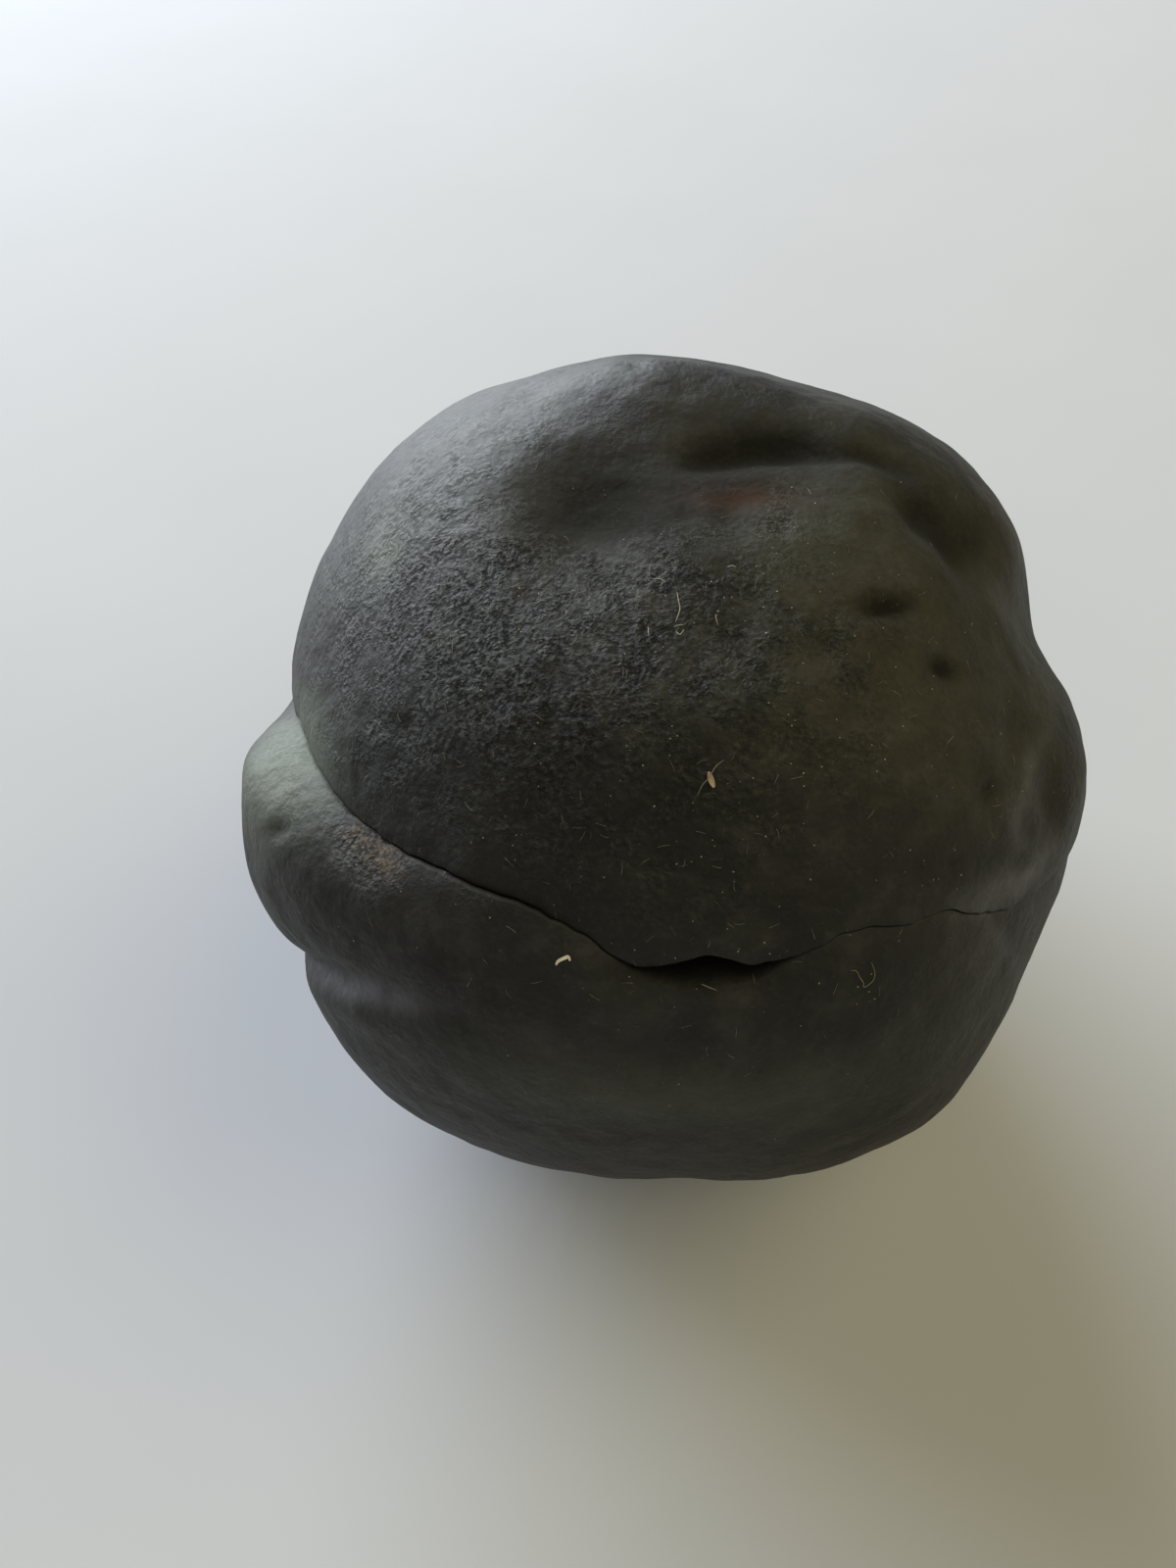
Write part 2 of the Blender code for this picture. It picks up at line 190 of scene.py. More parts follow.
# Patches on the skin, as the forms above. The height is how strong a patch is, and one below 0 cuts it back.
GRAIN_PATCH = (
    (-108, 67, 14.0, 8.0, 0, 1, 1), (-150, 60, 14.0, 11.0, 0, 0.25, 1), (-122, 50, 16.0, 8.0, 0, 0.4, 1),
    (-140, 79, 6.5, 4.0, 40, -0.7, 1),  # none in the valley
    (-70, 64.3, 2.2, 1.3, 50, 0.6, 1), (-54, 58.7, 2.0, 1.1, 60, 0.6, 1), (-34, 75.6, 3.2, 1.3, 20, 0.5, 1),
    (-134, 31, 3.0, 1.5, 0, 0.6, 1),
)
RUST_PATCH = ((-41, 82.3, 4.2, 1.6, -48, 1, 1),)
DEPOSIT_PATCH = (
    (-137.8, 32, 1.0, 0.8, 0, 1, 1), (-133.5, 32.2, 1.7, 0.9, 10, 1, 1), (-130, 32.8, 1.3, 0.8, 0, 1, 1),
)
# Pale grey-green bloom, and a painted highlight on the lobe's top and along the front ridge
BLOOM_AND_HIGHLIGHT_PATCH = (
    (-172, 55, 3.5, 2.5, 0, 1, 1), (-158, 28, 7.5, 5.5, 30, 1.7, 1.5), (-92, 13, 16.0, 3.5, 0, 0.5, 1),
)
OLIVE_PATCH = (
    (-130, 80, 6.5, 4.0, 40, 1, 1), (-15, 77, 5.0, 4.0, 0, 0.8, 1),
    (-50, 67, 13.0, 10.0, 0, 1, 1.5), (-25, 47, 15.0, 16.0, 0, 1, 2), (-45, 0, 16.0, 14.0, 0, 0.5, 1),
)
# Painted shade: dark colour in the hollows besides the slot, and a faint darkening over the front face
PAINTED_SHADE_PATCH = (
    (-38, 60.5, 2.2, 0.8, -30, 1, 1), (-35, 51, 1.3, 0.8, -40, 1, 1), (-41, 37.6, 1.0, 0.7, 0, 0.6, 1),
    (-4, 60.5, 3.0, 2.2, 0, 0.7, 1), (-6, 55.5, 3.6, 2.6, 0, 0.7, 1), (2, 50.5, 2.6, 1.9, 0, 0.5, 1),
    (-148.3, 25, 1.6, 0.5, 48, 0.7, 1), (-150, 76, 5.0, 3.0, -50, 0.55, 1), (-115, 82, 6.5, 3.8, -25, 0.9, 1),
    (-22, 82, 6.0, 2.6, -65, 0.75, 1), (-55, 78.5, 2.6, 1.2, -40, 0.4, 1), (-112, 48, 17.0, 8.0, 0, 0.5, 1.5),
    (-88, 29.6, 5.5, 0.9, -4, 0.9, 1),
)
PATCHES = {
    "grain": GRAIN_PATCH,
    "rust": RUST_PATCH,
    "deposit": DEPOSIT_PATCH,
    "bloom_and_highlight": BLOOM_AND_HIGHLIGHT_PATCH,
    "olive": OLIVE_PATCH,
    "painted_shade": PAINTED_SHADE_PATCH,
}
# Pale lines, partly wear and partly painted sheen and painted reflection of the floor, as grooves whose depth
# is how strong they are
WEAR_AND_SHEEN_LINES = (
    # below the lobe
    ((-149, 0, 0.7, 0.4), (-143.8, 4.6, 0.8, 1.0), (-133, 12.3, 0.9, 1.0), (-125.7, 17, 1.1, 0.7),
     (-119.7, 19.6, 1.2, 0.3), (-114.8, 22.2, 1.2, 0.0)),
    # over the lip at the right
    ((-52, 28.5, 1.2, 0.1), (-48.5, 26.6, 1.4, 0.4), (-43.1, 24.6, 1.6, 0.7), (-38.9, 23, 1.5, 0.7),
     (-34.4, 22.2, 1.2, 0.5), (-29.6, 21.2, 1.1, 0.1)),
    # on the right flank
    ((-19.6, 32.7, 0.8, 0.0), (-26, 34, 0.8, 0.2), (-33.2, 33.7, 0.8, 0.4), (-38.9, 30, 0.8, 0.4),
     (-36.1, 23.2, 0.9, 0.2)),
    # below the crack there
    ((-47.1, 23, 0.8, 0.1), (-44, 15, 0.8, 0.3), (-40, 6, 0.9, 0.2), (-36.2, -1.1, 0.9, 0.0)),
)
PALE_EDGE = 1.0
LINT_PATCH = ((-90, 60, 24.0, 15.0, 0, 1, 1.5), (-85, 25, 22.0, 10.0, 0, 0.3, 1))

# Loose lint and dust
LINT_PER_CM2 = 34.0
LINT_LENGTH = (0.15, 0.85)
LINT_THICKNESS = 0.015  # of its length
LINT_SEED = 3
DUST_PER_CM2 = 30.0
DUST_SIZE = (0.02, 0.08)
DUST_SEED = 5
# The lint is picked from a few bent shapes of unit length
LINT_SHAPES = 7
LINT_SHAPE_SEED = 21
LINT_BEND = 0.16
LINT_LEAN = 0.25
LINT_RISE = (0.02, 0.1)

# Fibres that lie on the skin, each as places of azimuth, elevation and height above it
DARK_HAIRS = (
    ((-86.1, 49.3, 0.1), (-85.3, 50.3, 0.2), (-84.4, 50.9, 0.3), (-83.7, 51.5, 0.3), (-82.9, 52.1, 0.2),
     (-81.6, 52.6, 0.1)),
    ((-68.5, 27.7, 0.1), (-67.9, 27.5, 0.2), (-67.6, 26.6, 0.2), (-67.3, 25.9, 0.2), (-67.3, 25.3, 0.1),
     (-66.8, 25.4, 0.2), (-66.0, 25.9, 0.3), (-65.7, 26.7, 0.3), (-65.7, 27.6, 0.1)),
    ((-86.4, 29.2, 0.5), (-85.5, 28.8, 0.4), (-84.6, 28.2, 0.1)),
)
PALE_FIBRES = (
    ((-88.3, 70.2, 0.1), (-88.0, 69.1, 0.2), (-87.7, 68.4, 0.2), (-88.0, 67.8, 0.2), (-89.0, 66.8, 0.1)),
    ((-96.5, 71.8, 0.1), (-93.8, 71.7, 0.2), (-91.8, 71.4, 0.1)),
    ((-89.5, 66.3, 0.1), (-88.3, 66.4, 0.2), (-87.1, 66.5, 0.1)),
    ((-88.8, 65.8, 0.1), (-88.0, 65.4, 0.2), (-86.9, 66.0, 0.1)),
    ((-95.7, 66.2, 0.1), (-95.5, 65.6, 0.2), (-95.3, 65.1, 0.1)),
    ((-78.4, 67.4, 0.1), (-78.5, 66.7, 0.2), (-78.3, 66.3, 0.1)),
    ((-70.9, 72.3, 0.1), (-69.4, 72.2, 0.2), (-68.3, 72.0, 0.1)),
)
HAIR_RADIUS = 0.03
HAIR_TAPER = 0.3  # the power by which hairs and fibres narrow to their ends
STRAND_STEPS = 6
STRAND_SIDES = 8
STRAND_END = 0.04  # share of its narrowing outline that is cut off at each end, which leaves the end blunt
# A seed husk and a flake of chaff, in the same way
HUSK = ((-84.2, 51.6, 0.25), (-83.9, 50.8, 0.2), (-83.5, 50.0, 0.2))
FLAKE = (
    (-103.9, 30.2, 0.1), (-103.5, 30.9, 0.3), (-102.7, 31.4, 0.3), (-102.4, 31.5, 0.3), (-102.2, 31.0, 0.2),
)

# Patterns of the stone's finish, as noise: how many millimetres a feature is across, detail, roughness.
# Its real crumbs are a tenth or two of a millimetre across, and are drawn 0.4 mm across so that they show.
PATTERNS = {
    "clouds": (11, 5.0, 0.5),
    "smears": (3.6, 5.0, 0.65),
    "worn": (2.4, 3.0, 0.5),
    "rolls": (2.0, 4.0, 0.5),
    "mottle": (1.6, 4.0, 0.5),
    "swellings": (0.8, 2.0, 0.5),
    "fine": (0.42, 3.0, 0.5),
    "crumble": (0.42, 4.0, 0.62),
}
PORE_SPACING = 1.5
# Colours laid over the bare shale, in order: the pattern or patch whose value sets the share, from and to
# which value, the shares at these two, the patch that the share is limited to, and the colour
BARE_SHALE = "#191817"
LAYERS = (
    ("clouds", 0.35, 0.65, 0.0, 1.0, None, "#232220"),
    ("clouds", 0.3, 0.7, 0.4, 1.0, "olive", "#29281f"),  # olive film
    ("mottle", 0.6, 0.75, 0.0, 0.35, None, "#3a3832"),
    ("smears", 0.5, 0.72, 0.0, 0.45, None, "#3b3a35"),
    ("smears", 0.47, 0.3, 0.0, 0.5, None, "#12110f"),
    ("bloom_and_highlight", 0.0, 2.0, 0.0, 0.7, None, "#6a7064"),  # pale grey-green bloom, and a painted highlight on the lobe's top and along the front ridge
    # pale lines: painted sheen and reflection, partly wear
    ("smears", 0.35, 0.6, 0.35, 0.85, "pale", "#605f68"),
    ("mottle", 0.3, 0.6, 0.6, 1.0, "rust", "#43240c"),
    ("fine", 0.4, 0.62, 0.0, 1.0, "deposit", "#4e3d28"),  # brown earth at the crack
    # painted shade in the hollows, the slot and over the front face
    ("painted_shade", 0.0, 1.0, 0.0, 1.0, None, "#0e0d0a"),
    ("inside", 0.0, 0.3, 0.0, 1.0, None, "#0b0a09"),  # painted shade on the crack's own walls
    ("crumble", 0.56, 0.68, 0.0, 0.5, "grain", "#57534b"),  # painted highlight on the tops of the crumbs
    ("crumble", 0.46, 0.36, 0.0, 0.8, "grain", "#0c0b0a"),  # painted shade in the gaps between them
)
# How dark the painted shade gets at most
PAINTED_SHADE_MOST = 0.85
# Bumps, each laid over the one before: pattern, height, the patch that it is limited to
BUMPS = (
    ("rolls", 0.28, None),
    ("swellings", 0.35, "grain"),
    ("crumble", 2.6, "grain"),
    ("pores", 0.1, "grain"),
)
SHALE_ROUGHNESS = 0.58
OLIVE_ROUGHNESS = 0.1  # more, where the film is
SHADE_AND_RUST_ROUGHNESS = 0.35  # more, on the painted shade and rust
SHALE_IOR = 1.32  # lower than solid shale's, so that the rough, dusty skin shines as faintly as the real one

# The floor reaches this many metres each way, just under the stone
FLOOR_HALF = 1.5
FLOOR_DROP = 0.05
# Lights: name, azimuth, elevation, distance and size in metres, power in watts, colour
LIGHTS = (
    ("window", 127, 22, 1.2, 1.3, 52.0, "#ecf4fa"),
    ("lamp", 5, 50, 1.2, 1.0, 9.0, "#fdf0b4"),
    ("room", -90, 50, 1.2, 1.2, 4.9, "#fef8dd"),
)
AIR_COLOUR = "#fff8ea"
AIR_STRENGTH = 0.02


def unit(azimuth, elevation):
    """The direction of an azimuth and an elevation."""
    azimuth = np.radians(azimuth)
    elevation = np.radians(elevation)
    level = np.cos(elevation)
    return np.stack([level * np.cos(azimuth), level * np.sin(azimuth), np.sin(elevation)], axis=-1)


def closed_curve(degrees, knots, column=1):
    """A smooth curve through one column of a list of knots, which meets itself after a full turn."""
    places = np.array([knot[0] for knot in knots], float)
    values = np.array([knot[column] for knot in knots], float)
    places = np.concatenate([places[-2:] - 360, places, places[:2] + 360])
    values = np.concatenate([values[-2:], values, values[:2]])
    slopes = np.gradient(values, places)
    turned = (degrees - places[2]) % 360 + places[2]
    i = np.clip(np.searchsorted(places, turned, side="right") - 1, 2, len(places) - 3)
    span = places[i + 1] - places[i]
    t = (turned - places[i]) / span
    fade = 1 + (2 * t - 3) * t * t
    level = values[i] * fade + values[i + 1] * (1 - fade)
    return level + span * t * (1 - t) * (slopes[i] * (1 - t) - slopes[i + 1] * t)


def smooth_body(way):
    """Radius of the body without its forms: the girth's own, and one radius each way along its axis."""
    axis = unit(-90, GIRTH_LEAN)
    rise = unit(90, 90 - GIRTH_LEAN)
    along = way @ axis
    turn = np.degrees(np.arctan2(way @ rise, way[..., 0]))
    end = np.where(along > 0, CROWN_RADIUS, KEEL_RADIUS)
    return end + (closed_curve(turn, GIRTH) - end) * (1 - along**2)


def lumps(way, forms):
    """Height of all the lumps and hollows of a list."""
    total = np.zeros(way.shape[:-1])
    for azimuth, elevation, length, width, turn, height, edge in forms:
        middle = unit(azimuth, elevation)
        east = unit(azimuth + 90, 0)
        north = np.cross(middle, east)
        lengthwise = east * math.cos(math.radians(turn)) + north * math.sin(math.radians(turn))
        crosswise = np.cross(middle, lengthwise)
        far = (CROWN_RADIUS * way @ lengthwise / length) ** 2 + (CROWN_RADIUS * way @ crosswise / width) ** 2
        total += height * np.exp(-(far**edge)) * (way @ middle > 0)
    return total


def smooth_line(points, steps):
    """Places on a smooth line through points, with this many steps from each to the next. The last point is
    left out."""
    points = np.vstack([2 * points[0] - points[1], points, 2 * points[-1] - points[-2]])
    line = []
    for a, b, c, d in zip(points, points[1:], points[2:], points[3:]):
        for t in np.arange(steps) / steps:
            bend = 2 * a - 5 * b + 4 * c - d + t * (3 * (b - c) + d - a)
            line.append(b + 0.5 * t * (c - a + t * bend))
    return np.array(line)


def smooth_path(knots):
    """Direction, half-width and depth at many points on a smooth line through a groove's knots."""
    points = np.array([
        [*unit(azimuth, elevation), width, depth] for azimuth, elevation, width, depth in knots
    ])
    path = smooth_line(points, GROOVE_STEPS)
    path[:, :3] /= np.linalg.norm(path[:, :3], axis=1)[:, None]
    return path


def groove(way, knots, edge):
    """Depth of a groove, which is negative, as a height. A higher edge gives it steeper sides."""
    depth = np.zeros(way.shape[:-1])
    for x, y, z, half_width, floor in smooth_path(knots):
        away = CROWN_RADIUS * np.linalg.norm(way - (x, y, z), axis=-1)
        depth = np.maximum(depth, floor * np.exp(-((away / half_width) ** (2 * edge))))
    return -depth


def noise_at(places, size, shift=0.0):
    """Smooth noise between about -1 and 1 at places in millimetres, in waves of about this size."""
    flat = places.reshape(-1, 3) / size + shift
    return np.array([noise.noise(Vector(place)) for place in flat]).reshape(places.shape[:-1])


def lip_height(azimuth):
    """Elevation of the cap's lip, with the small chips along it."""
    height = closed_curve(azimuth, LIP)
    places = CROWN_RADIUS * unit(azimuth, height)
    return height + sum(
        np.degrees(tall / CROWN_RADIUS) * noise_at(places, size, CHIP_SHIFT) for size, tall in CHIPS
    )


def pit_places():
    """Directions and radii of the small pits, scattered mostly over the top of the cap."""
    random = np.random.default_rng(PIT_SEED)
    places = []
    while len(places) < PIT_COUNT:
        middle = random.normal(size=3)
        middle /= np.linalg.norm(middle)
        radius = random.uniform(*PIT_RADIUS)
        if random.random() < PIT_STRAY + (1 - PIT_STRAY) * lumps(middle[None], GRAIN_PATCH)[0]:
            places.append((middle, radius))
    return places


def pits(way):
    """Depth of the small round pits."""
    depth = np.zeros(way.shape[:-1])
    for middle, radius in PIT_PLACES:
        far = CROWN_RADIUS**2 * (2 - 2 * (way @ middle)) / radius**2
        depth = np.maximum(depth, PIT_DEPTH_SHARE * radius * np.exp(-far))
    return depth


PIT_PLACES = pit_places()


def relief(way):
    """Fine unevenness of the skin, as a height."""
    places = CROWN_RADIUS * way
    crumbs = sum(height * noise_at(places, size, CRUMB_SHIFT) for size, height in CRUMBS)
    waves = sum(height * noise_at(places, size) for size, height in WAVES)
    return waves + crumbs * np.minimum(lumps(way, GRAIN_PATCH), 1) - pits(way) - SKIN_INSET


def edge_wear(azimuth, away, column):
    """How far an edge of the crack is worn back, at some way from it along the surface."""
    return closed_curve(azimuth, EDGE_WEAR, column) * np.exp(-np.maximum(away, 0) / EDGE_WEAR_WIDTH)


def cap_radius(azimuth, elevation, lip):
    """Radius of the cap, whose lip is at this elevation."""
    way = unit(azimuth, elevation)
    radius = smooth_body(way) + lumps(way, CAP_FORMS) + groove(way, BASIN, BASIN_EDGE)
    radius = radius + groove(way, SLOT, SLOT_EDGE) + groove(way, RUN_OUT, RUN_OUT_EDGE)
    above_lip = np.radians(elevation - lip) * radius
    return radius - edge_wear(azimuth, above_lip, 1) + relief(way)


def swell(share):
    """A rise from 0 at a crease to a level 1."""
    return 1 - (1 - np.clip(share, 0, 1)) ** SWELL_POWER


def lobe(azimuth, elevation):
    """Height of the lobe, between the lip above it and its foot."""
    below_lip = np.radians(closed_curve(azimuth, LIP) - elevation) * CROWN_RADIUS
    above_foot = np.radians(elevation - closed_curve(azimuth, LOBE, 2)) * CROWN_RADIUS
    return closed_curve(azimuth, LOBE, 1) * swell(below_lip / LOBE_TOP) * swell(above_foot / LOBE_FALL)


def body_radius(azimuth, elevation, lip):
    """Radius of the body below the lip."""
    way = unit(azimuth, elevation)
    radius = smooth_body(way) + lumps(way, BODY_FORMS) + lobe(azimuth, elevation)
    radius = radius + groove(way, LOBE_CREASE, LOBE_CREASE_EDGE) - groove(way, LOBE_LEDGE, LOBE_LEDGE_EDGE)
    below_lip = np.radians(lip - elevation) * radius
    return radius - edge_wear(azimuth, below_lip, 2) + relief(way)


def stone_grid():
    """Points of the skin in rings of equal length, from the top down, their directions, and how far inside
    the crack each one is."""
    azimuth = np.arange(SEGMENTS) * 360.0 / SEGMENTS
    mouth = closed_curve(azimuth, MOUTH)
    lip = lip_height(azimuth)
    lip_radius = cap_radius(azimuth, lip, lip)
    back_radius = lip_radius - CRACK_DEPTH - MOUTH_DEPTH * mouth
    smooth_lip = closed_curve(azimuth, LIP)
    open_share = np.clip(mouth, 0, 1)
    start = lip + (smooth_lip - lip) * open_share
    ledge = start - np.degrees((CRACK_GAP + mouth) / lip_radius)
    ledge_radius = body_radius(azimuth, ledge, lip)
    back_floor = lip - np.degrees((CRACK_GAP + MOUTH_BACK_SHARE * mouth) / lip_radius)
    rest = -math.degrees(math.atan(HEART[2] / REST_RADIUS))

    cap_share = (1 - np.arange(1, CAP_ROWS + 1) / CAP_ROWS)[:, None] ** EDGE_CROWDING
    crack_share = (np.arange(1, CRACK_ROWS + 1) / CRACK_ROWS)[:, None]
    body_share = (np.arange(1, BODY_ROWS + 1) / BODY_ROWS)[:, None] ** EDGE_CROWDING
    around = azimuth + 0 * cap_share
    cap = lip + (90 - lip) * cap_share
    roof = lip + 0 * crack_share
    floor_share = np.vstack([[[0.0]], crack_share])
    floor = back_floor + (ledge - back_floor) * floor_share
    body = ledge + (rest - ledge) * body_share
    elevation = np.vstack([cap, roof, floor, body])
    radius = np.vstack([
        cap_radius(around, cap, lip),
        lip_radius + (back_radius - lip_radius) * crack_share,
        back_radius + (ledge_radius - back_radius) * floor_share,
        body_radius(azimuth + 0 * body_share, body, lip),
    ])
    inside = np.vstack([0 * cap, roof * 0 + crack_share, floor * 0 + 1 - floor_share, 0 * body])
    way = unit(azimuth + 0 * elevation, elevation)
    points = way * radius[..., None] + HEART
    z = points[..., 2]
    rounded = (z + REST_BLEND) ** 2 / (4 * REST_BLEND)
    points[..., 2] = np.where(z > REST_BLEND, z, np.where(z < -REST_BLEND, 0.0, rounded))
    return points, way, inside


def add_attribute(mesh, name, values):
    """Keeps one value for each vertex on the mesh."""
    layer = mesh.attributes.new(name, "FLOAT", "POINT")
    layer.data.foreach_set("value", np.asarray(values, np.float32))


def make_stone(material):
    """The whole skin as one closed mesh, with its patches as attributes."""
    points, way, inside = stone_grid()
    rings = len(points)
    top_radius = cap_radius(np.zeros(1), np.full(1, 90.0), lip_height(np.zeros(1)))[0]
    top = np.array(HEART) + (0, 0, top_radius)
    bottom = np.array([HEART[0], HEART[1], 0.0])
    vertices = np.vstack([points.reshape(-1, 3), top, bottom]) * MM
    ways = np.vstack([way.reshape(-1, 3), (0, 0, 1), (0, 0, -1)])
    insides = np.append(inside.ravel(), (0, 0))
    j = np.arange(SEGMENTS)
    k = (j + 1) % SEGMENTS
    quads = [
        np.stack([upper + j, upper + SEGMENTS + j, upper + SEGMENTS + k, upper + k], axis=1)
        for upper in np.arange(rings - 1) * SEGMENTS
    ]
    last = (rings - 1) * SEGMENTS
    faces = np.vstack(quads).tolist()
    pole = np.full(SEGMENTS, rings * SEGMENTS)
    faces += np.stack([pole, j, k], axis=1).tolist()
    faces += np.stack([pole + 1, last + k, last + j], axis=1).tolist()
    mesh = bpy.data.meshes.new("stone_skin")
    mesh.from_pydata(vertices.tolist(), [], faces)
    mesh.shade_smooth()
    outside = 1 - np.minimum(insides * 4, 1)  # no lint in the crack
    strengths = {name: lumps(ways, forms) for name, forms in PATCHES.items()}
    # The painted shade also fills the slot
    strengths["painted_shade"] = strengths["painted_shade"] - groove(ways, SLOT, SLOT_EDGE)
    # Pale lines: painted sheen and reflection along creases and ridges, partly wear
    strengths["pale"] = -sum(groove(ways, line, PALE_EDGE) for line in WEAR_AND_SHEEN_LINES)
    # How far inside the crack a point is also sets the painted shade on the crack's walls
    strengths["inside"] = insides
    strengths["lint"] = lumps(ways, LINT_PATCH) * outside
    for name, strength in strengths.items():
        add_attribute(mesh, name, strength)
    mesh.materials.append(material)
    return link(bpy.data.objects.new("stone_skin", mesh))


def link(made):
    """Puts a new object into the scene."""
    bpy.context.scene.collection.objects.link(made)
    return made


def linear(code):
    """An sRGB hex colour as linear red, green, blue and alpha."""
    parts = [int(code[i:i + 2], 16) / 255 for i in (1, 3, 5)]
    return [p / 12.92 if p <= 0.04045 else ((p + 0.055) / 1.055) ** 2.4 for p in parts] + [1.0]


def add(tree, kind, links=None, **settings):
    """Adds a node to a tree, with its settings, and gives each named or numbered input a value or a link."""
    made = tree.nodes.new(kind)
    for name, value in settings.items():
        setattr(made, name, value)
    for name, value in (links or {}).items():
        socket = made.inputs[name]
        if isinstance(value, bpy.types.NodeSocket):
            tree.links.new(value, socket)
        else:
            socket.default_value = value
    return made


def new_material(name):
    """A material with only a Principled shader and its output."""
    material = bpy.data.materials.new(name)
    material.use_nodes = True
    return material, material.node_tree, material.node_tree.nodes["Principled BSDF"]


def per_mm(size):
    """Scale of a pattern on Object coordinates whose features are this many millimetres apart."""
    return 1 / (size * MM)


def river_worn_shale():
    """Dense black shale, tumbled by a river: satin, with a fine pitted grain on top that glints in light."""
    material, tree, shader = new_material("river_worn_black_shale")
    place = add(tree, "ShaderNodeTexCoord").outputs["Object"]
    fields = {}
    for name, (size, detail, roughness) in PATTERNS.items():
        pattern = add(tree, "ShaderNodeTexNoise", {
            "Vector": place, "Scale": per_mm(size), "Detail": detail, "Roughness": roughness,
        })
        fields[name] = pattern.outputs["Fac"]
    for name in (*PATCHES, "pale", "inside"):
        fields[name] = add(tree, "ShaderNodeAttribute", attribute_name=name).outputs["Fac"]
    # The painted shade is held below its most
    painted_shade = add(tree, "ShaderNodeMath", {0: fields["painted_shade"], 1: PAINTED_SHADE_MOST}, operation="MINIMUM")
    fields["painted_shade"] = painted_shade.outputs[0]

    # The grain comes and goes within its patch, and a trace of it is everywhere
    patchy = add(tree, "ShaderNodeMapRange", {
        "Value": fields["worn"], "From Min": 0.4, "From Max": 0.6, "To Min": 0.35, "To Max": 1.0,
    })
    spread = add(tree, "ShaderNodeMapRange", {"Value": fields["grain"], "To Min": 0.12})
    grain = add(tree, "ShaderNodeMath", {
        0: spread.outputs["Result"], 1: patchy.outputs["Result"],
    }, operation="MULTIPLY")
    fields["grain"] = grain.outputs[0]

    colour = linear(BARE_SHALE)
    for pattern, start, end, start_share, end_share, patch, code in LAYERS:
        share = add(tree, "ShaderNodeMapRange", {
            "Value": fields[pattern], "From Min": start, "From Max": end,
            "To Min": start_share, "To Max": end_share,
        }).outputs["Result"]
        if patch:
            share = add(tree, "ShaderNodeMath", {0: fields[patch], 1: share}, operation="MULTIPLY").outputs[0]
        laid_over = add(tree, "ShaderNodeMix", {
            "Factor": share, 6: colour, 7: linear(code),
        }, data_type="RGBA")
        colour = laid_over.outputs[2]
    tree.links.new(colour, shader.inputs["Base Color"])

    pores = add(tree, "ShaderNodeTexVoronoi", {"Vector": place, "Scale": per_mm(PORE_SPACING)})
    pore_depth = add(tree, "ShaderNodeMapRange", {"Value": pores.outputs["Distance"], "From Max": 0.22})
    fields["pores"] = pore_depth.outputs["Result"]
    bump = None
    for pattern, height, patch in BUMPS:
        finer = add(tree, "ShaderNodeBump", {"Distance": height * MM, "Height": fields[pattern]})
        if patch:
            tree.links.new(fields[patch], finer.inputs["Strength"])
        if bump:
            tree.links.new(bump.outputs["Normal"], finer.inputs["Normal"])
        bump = finer
    tree.links.new(bump.outputs["Normal"], shader.inputs["Normal"])

    # Worn tops of the crumbs shine and the gaps between them are matt, and so are olive film, the painted
    # shade and rust
    crumbly = add(tree, "ShaderNodeMapRange", {
        "Value": fields["crumble"], "From Min": 0.43, "From Max": 0.53, "To Min": 0.25, "To Max": -0.33,
    })
    shade_and_rust = add(tree, "ShaderNodeMath", {0: fields["painted_shade"], 1: fields["rust"]}, operation="MAXIMUM")
    rough = SHALE_ROUGHNESS
    for value, gain in (
        (crumbly.outputs["Result"], fields["grain"]),
        (fields["olive"], OLIVE_ROUGHNESS),
        (shade_and_rust.outputs[0], SHADE_AND_RUST_ROUGHNESS),
    ):
        rough = add(tree, "ShaderNodeMath", {
            0: value, 1: gain, 2: rough,
        }, operation="MULTIPLY_ADD").outputs[0]
    tree.links.new(rough, shader.inputs["Roughness"])
    shader.inputs["IOR"].default_value = SHALE_IOR
    return material


def plain_matt(name, code, roughness, variation, size):
    """A matt material whose tone shifts a little from place to place."""
    material, tree, shader = new_material(name)
    place = add(tree, "ShaderNodeTexCoord").outputs["Object"]
    patches = add(tree, "ShaderNodeTexNoise", {"Vector": place, "Scale": per_mm(size), "Detail": 3.0})
    share = add(tree, "ShaderNodeMapRange", {
        "Value": patches.outputs["Fac"], "From Min": 0.35, "From Max": 0.65,
    })
    base = linear(code)
    shade = [channel * (1 - variation) for channel in base[:3]] + [1.0]
    tone = add(tree, "ShaderNodeMix", {
        "Factor": share.outputs["Result"], 6: shade, 7: base,
    }, data_type="RGBA")
    tree.links.new(tone.outputs[2], shader.inputs["Base Color"])
    shader.inputs["Roughness"].default_value = roughness
    return material


def set_input(modifier, tree, name, value):
    """Sets a modifier's input by the identifier of the tree's socket of that name."""
    socket = next(item for item in tree.interface.items_tree if item.name == name and item.in_out == "INPUT")
    modifier[socket.identifier] = value


